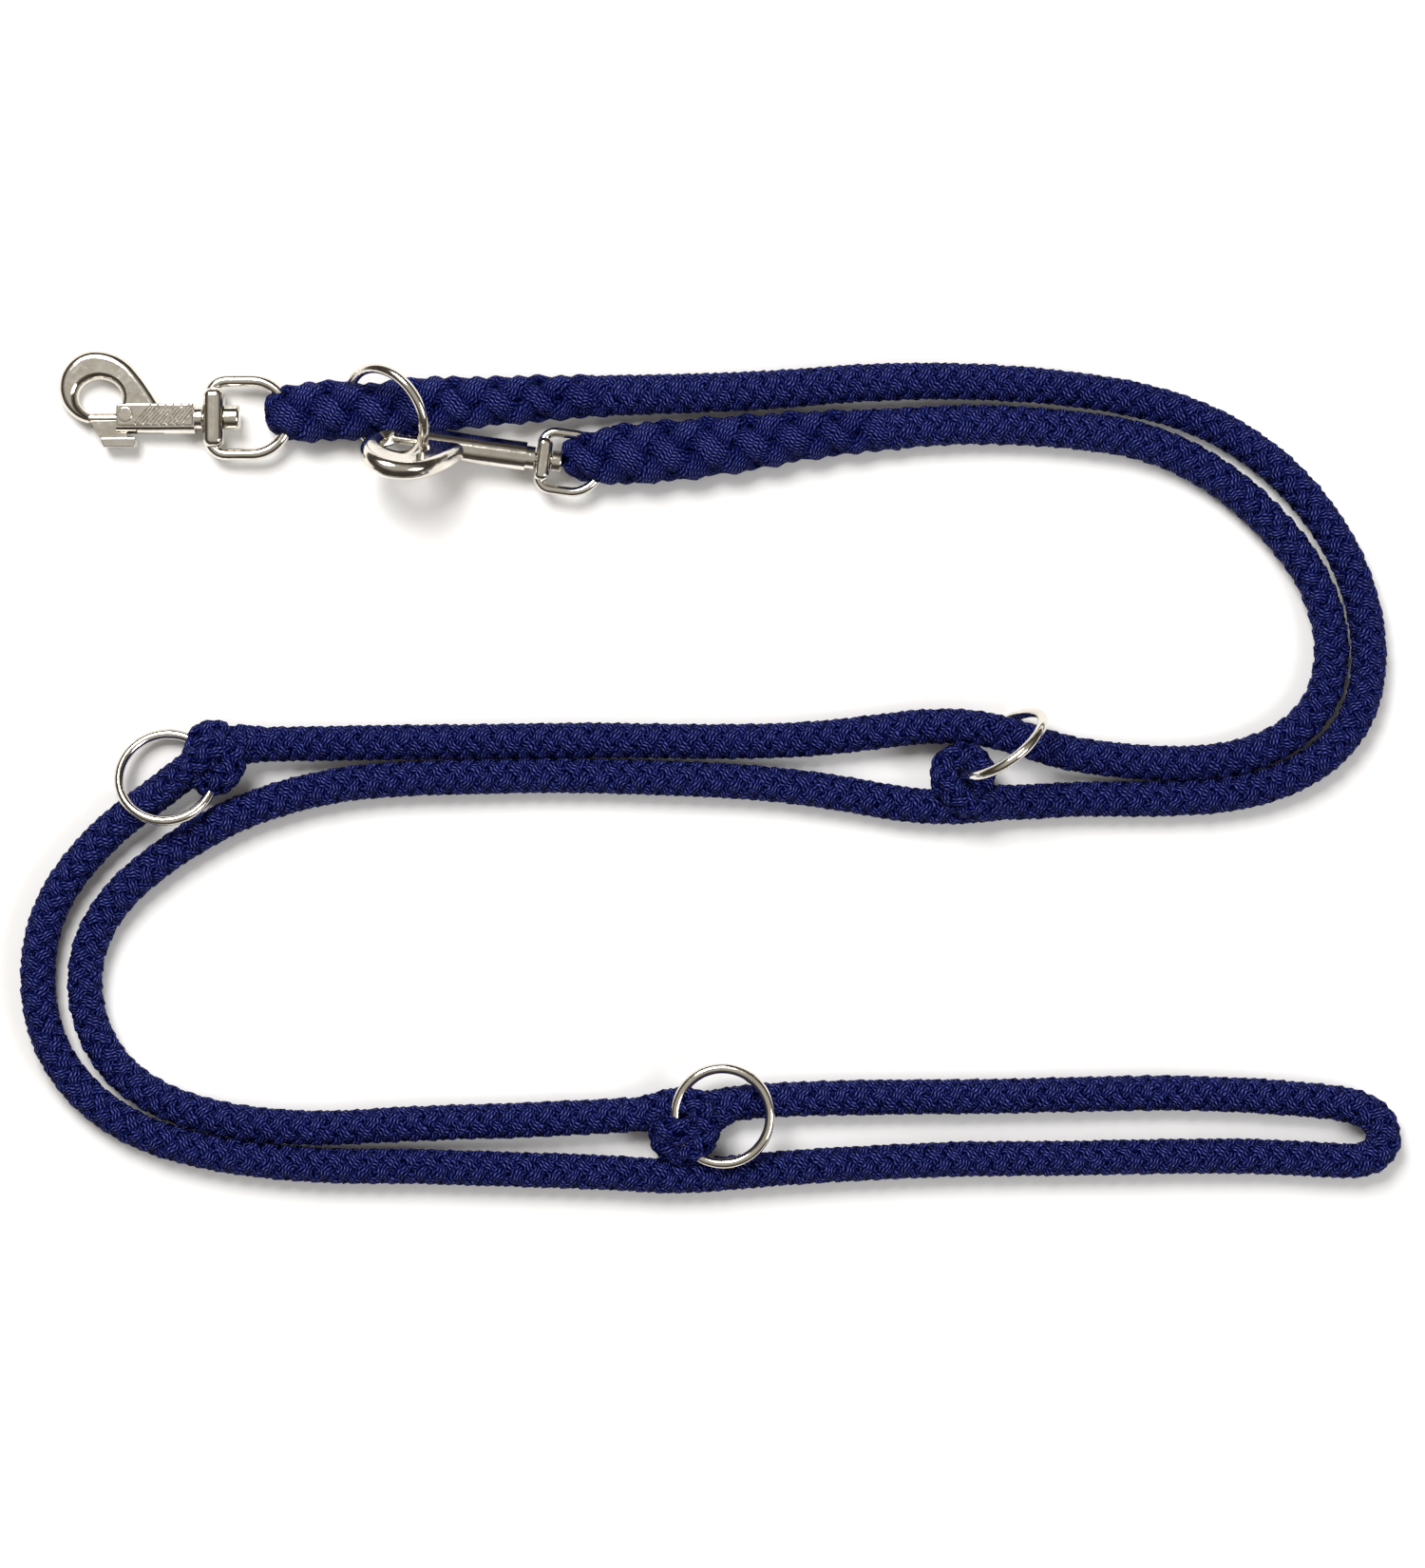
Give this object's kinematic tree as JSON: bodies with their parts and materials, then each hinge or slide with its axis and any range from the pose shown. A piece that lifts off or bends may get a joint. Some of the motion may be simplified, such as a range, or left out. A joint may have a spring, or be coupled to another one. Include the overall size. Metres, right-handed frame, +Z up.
{
  "type": "lead rope",
  "caption": "Braided lead rope with a swivelling bolt snap spliced into each end, a ring in the front splice, rings held in knots and a closed handle loop.",
  "frame": {"origin": "centre of the footprint of the lead rope laid out flat, on the surface that it lies on", "axes": "+X runs along the long side of the layout towards the handle fold, +Y towards the two snaps, +Z up from the surface"},
  "size_m": [0.4081, 0.2494, 0.0295],
  "materials": {
    "braided_cord": "soft braided multifilament cord",
    "nickel_plate": "bright nickel plate",
    "spring_steel": "plain spring steel"
  },
  "bodies": {
    "rope": {"rope_outer_curve": "braided_cord", "rope_inner_curve": "braided_cord", "rope_handle_loop": "braided_cord", "rope_left_curve": "braided_cord", "rope_middle_run": "braided_cord", "front_splice": "braided_cord", "back_splice": "braided_cord", "left_knot": "braided_cord", "middle_knot": "braided_cord", "handle_knot": "braided_cord"},
    "front_snap_eye_link": {"front_snap_eye": "nickel_plate"},
    "front_snap_barrel": {"front_snap_body": "nickel_plate", "front_snap_swivel_post": "nickel_plate", "front_snap_spring": "spring_steel"},
    "front_snap_slider": {"front_snap_bolt": "nickel_plate", "front_snap_thumb_piece": "nickel_plate"},
    "back_snap_eye_link": {"back_snap_eye": "nickel_plate"},
    "back_snap_barrel": {"back_snap_body": "nickel_plate", "back_snap_swivel_post": "nickel_plate", "back_snap_spring": "spring_steel"},
    "back_snap_slider": {"back_snap_bolt": "nickel_plate", "back_snap_thumb_piece": "nickel_plate"},
    "splice_ring_link": {"splice_ring": "nickel_plate"},
    "middle_ring_link": {"middle_ring": "nickel_plate"},
    "left_ring_link": {"left_ring": "nickel_plate"},
    "handle_ring_link": {"handle_ring": "nickel_plate"}
  },
  "joints": [
    {"name": "front_snap_hinge", "type": "hinge", "parent": "rope", "child": "front_snap_eye_link", "pos_m": [-0.12611, 0.1045, 0.00631], "axis": [0, 1, 0], "range_deg": [-60, 60]},
    {"name": "front_snap_swivel", "type": "hinge", "parent": "front_snap_eye_link", "child": "front_snap_barrel", "pos_m": [-0.15013, 0.1045, 0.00513], "axis": [0.9988, 0, 0.0489], "continuous": true},
    {"name": "front_snap_bolt_slide", "type": "slide", "parent": "front_snap_barrel", "child": "front_snap_slider", "axis": [0.9988, 0, 0.0489], "range_m": [0, 0.009], "stiffness_N_per_m": 450, "springref_m": -0.012, "deforming": ["front_snap_spring"]},
    {"name": "back_snap_hinge", "type": "hinge", "parent": "rope", "child": "back_snap_eye_link", "pos_m": [-0.03374, 0.08997, 0.00619], "axis": [0.134, 0.991, 0], "range_deg": [-0.5, 0.5]},
    {"name": "back_snap_swivel", "type": "hinge", "parent": "back_snap_eye_link", "child": "back_snap_barrel", "pos_m": [-0.05185, 0.09242, 0.00715], "axis": [0.9896, -0.1338, -0.0523], "range_deg": [-6, 6]},
    {"name": "back_snap_bolt_slide", "type": "slide", "parent": "back_snap_barrel", "child": "back_snap_slider", "axis": [0.9896, -0.1338, -0.0523], "range_m": [0, 0.009], "stiffness_N_per_m": 450, "springref_m": -0.012, "deforming": ["back_snap_spring"]},
    {"name": "splice_ring_spin", "type": "hinge", "parent": "rope", "child": "splice_ring_link", "pos_m": [-0.09505, 0.1054, 0.014], "axis": [-0.5773, -0.451, 0.6807], "continuous": true},
    {"name": "middle_ring_spin", "type": "hinge", "parent": "rope", "child": "middle_ring_link", "pos_m": [0.0859, 0.008, 0.0149], "axis": [-0.5633, 0.7476, 0.3518], "continuous": true},
    {"name": "left_ring_spin", "type": "hinge", "parent": "rope", "child": "left_ring_link", "pos_m": [-0.1603, -0.0018, 0.0092], "axis": [0, 0.4067, 0.9135], "continuous": true},
    {"name": "handle_ring_flop", "type": "hinge", "parent": "rope", "child": "handle_ring_link", "pos_m": [-0.00758, -0.10963, 0.01161], "axis": [0.5855, -0.809, 0.0512], "range_deg": [0, 125]}
  ]
}
